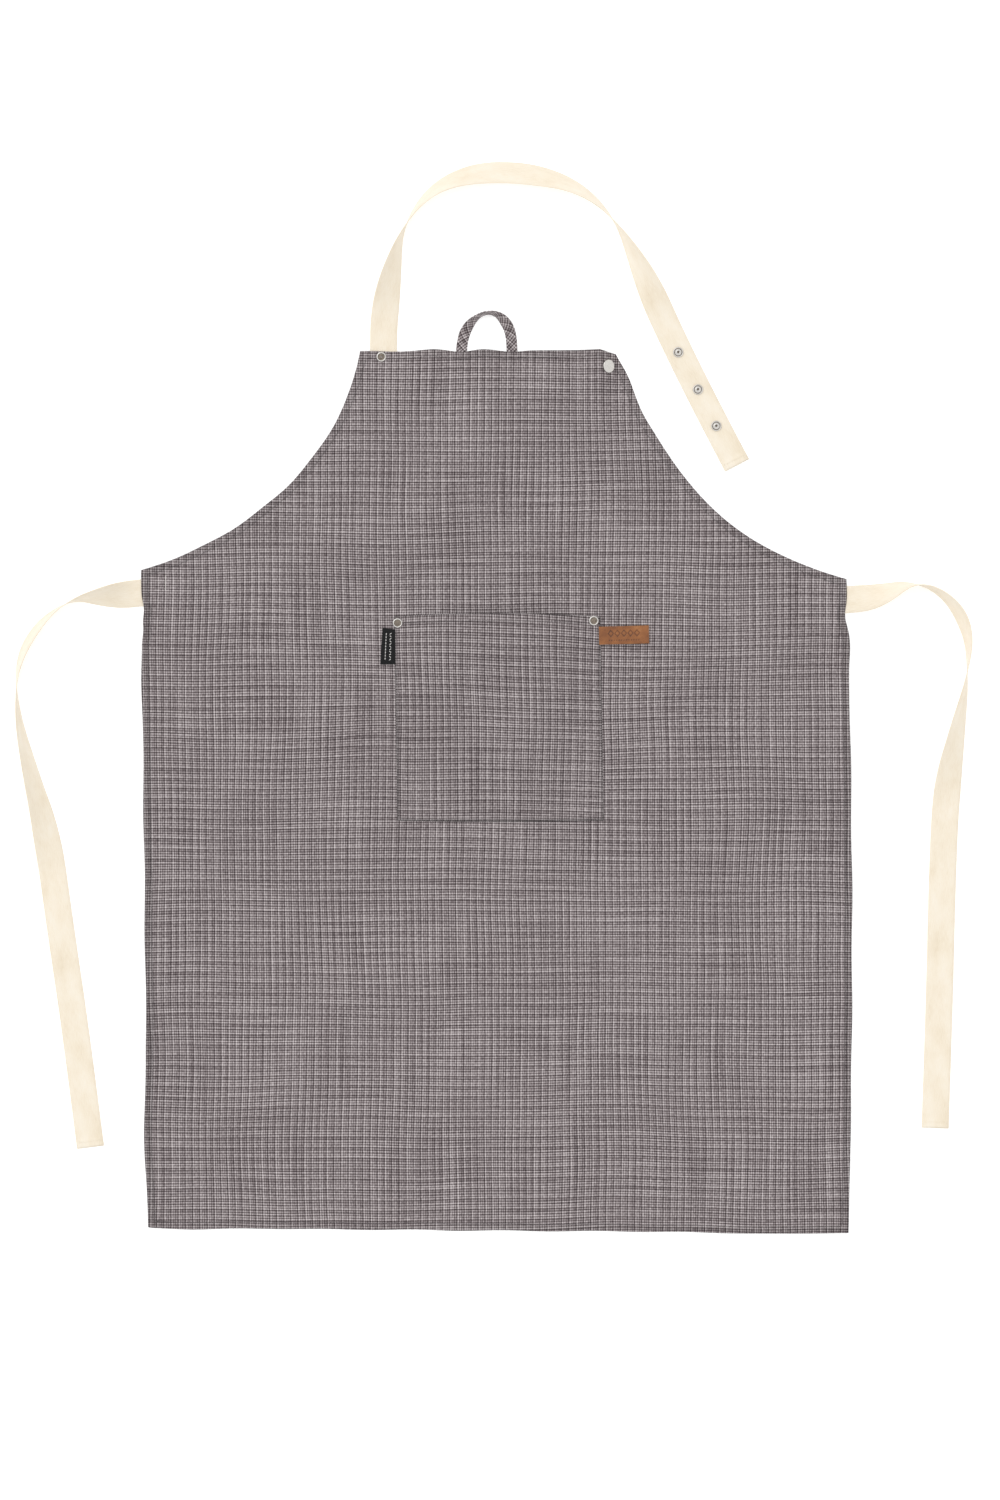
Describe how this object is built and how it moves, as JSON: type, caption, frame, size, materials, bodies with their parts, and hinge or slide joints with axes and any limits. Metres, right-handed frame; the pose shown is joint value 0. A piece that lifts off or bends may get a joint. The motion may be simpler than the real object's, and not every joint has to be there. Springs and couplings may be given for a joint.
{
  "type": "bib apron",
  "caption": "Bib apron laid flat: a hemmed cloth body with a patch pocket and a hanging loop, a neck strap that closes with a snap, and waist ties.",
  "frame": {"origin": "middle of the apron's width and length, hanging loop included and the three tapes left out, on the surface that it lies on", "axes": "+Z out of the front face, +Y from the skirt towards the bib, +X to the right as seen from the front"},
  "size_m": [0.9356, 1.0514, 0.0265],
  "materials": {
    "checked_cloth": "matt yarn-dyed micro check, plain weave",
    "cream_tape": "matt undyed cotton twill tape",
    "woven_label": "satin-woven label",
    "tan_leather": "vegetable-tanned, lightly embossed, raw cut edges",
    "nickel": "nickel-plated, slightly worn",
    "spring_wire": "bare spring wire"
  },
  "bodies": {
    "apron": {"body_panel": "checked_cloth", "pocket_panel": "checked_cloth", "neck_strap_sewn_end": "cream_tape", "left_tie_sewn_end": "cream_tape", "right_tie_sewn_end": "cream_tape", "hanging_loop_sewn_ends": "checked_cloth", "pocket_rivet_left_ring": "nickel", "pocket_rivet_left_backing": "nickel", "pocket_rivet_right_ring": "nickel", "pocket_rivet_right_backing": "nickel", "strap_rivet_ring": "nickel", "strap_rivet_backing": "nickel", "bib_snap_cap": "nickel", "bib_snap_socket": "nickel", "bib_snap_spring": "spring_wire"},
    "neck_strap": {"neck_strap": "cream_tape", "strap_stud_1": "nickel", "strap_stud_1_eyelet": "nickel", "strap_stud_2": "nickel", "strap_stud_2_eyelet": "nickel", "strap_stud_3": "nickel", "strap_stud_3_eyelet": "nickel"},
    "left_tie": {"left_tie": "cream_tape"},
    "right_tie": {"right_tie": "cream_tape"},
    "hanging_loop": {"hanging_loop": "checked_cloth"},
    "woven_label": {"woven_label": "woven_label"},
    "leather_label": {"leather_label": "tan_leather"}
  },
  "joints": [
    {"name": "neck_strap_fold", "type": "hinge", "parent": "apron", "child": "neck_strap", "pos_m": [-0.0975, 0.417, 0.0011], "axis": [0.9063, -0.4226, 0], "range_deg": [0, 150]},
    {"name": "left_tie_fold", "type": "hinge", "parent": "apron", "child": "left_tie", "pos_m": [-0.3516, 0.176, 0.0011], "axis": [0, 1, 0], "range_deg": [0, 135]},
    {"name": "right_tie_fold", "type": "hinge", "parent": "apron", "child": "right_tie", "pos_m": [0.3468, 0.1696, 0.0011], "axis": [0, -1, 0], "range_deg": [0, 135]},
    {"name": "hanging_loop_fold", "type": "hinge", "parent": "apron", "child": "hanging_loop", "pos_m": [-0.01, 0.4175, 0.0011], "axis": [1, 0, 0], "range_deg": [0, 150]},
    {"name": "woven_label_flip", "type": "hinge", "parent": "apron", "child": "woven_label", "pos_m": [-0.0973, 0.1227, 0.0031], "axis": [0, 1, 0], "range_deg": [0, 150]},
    {"name": "leather_label_flip", "type": "hinge", "parent": "apron", "child": "leather_label", "pos_m": [0.1037, 0.1346, 0.0039], "axis": [0, -1, 0], "range_deg": [0, 150]}
  ]
}
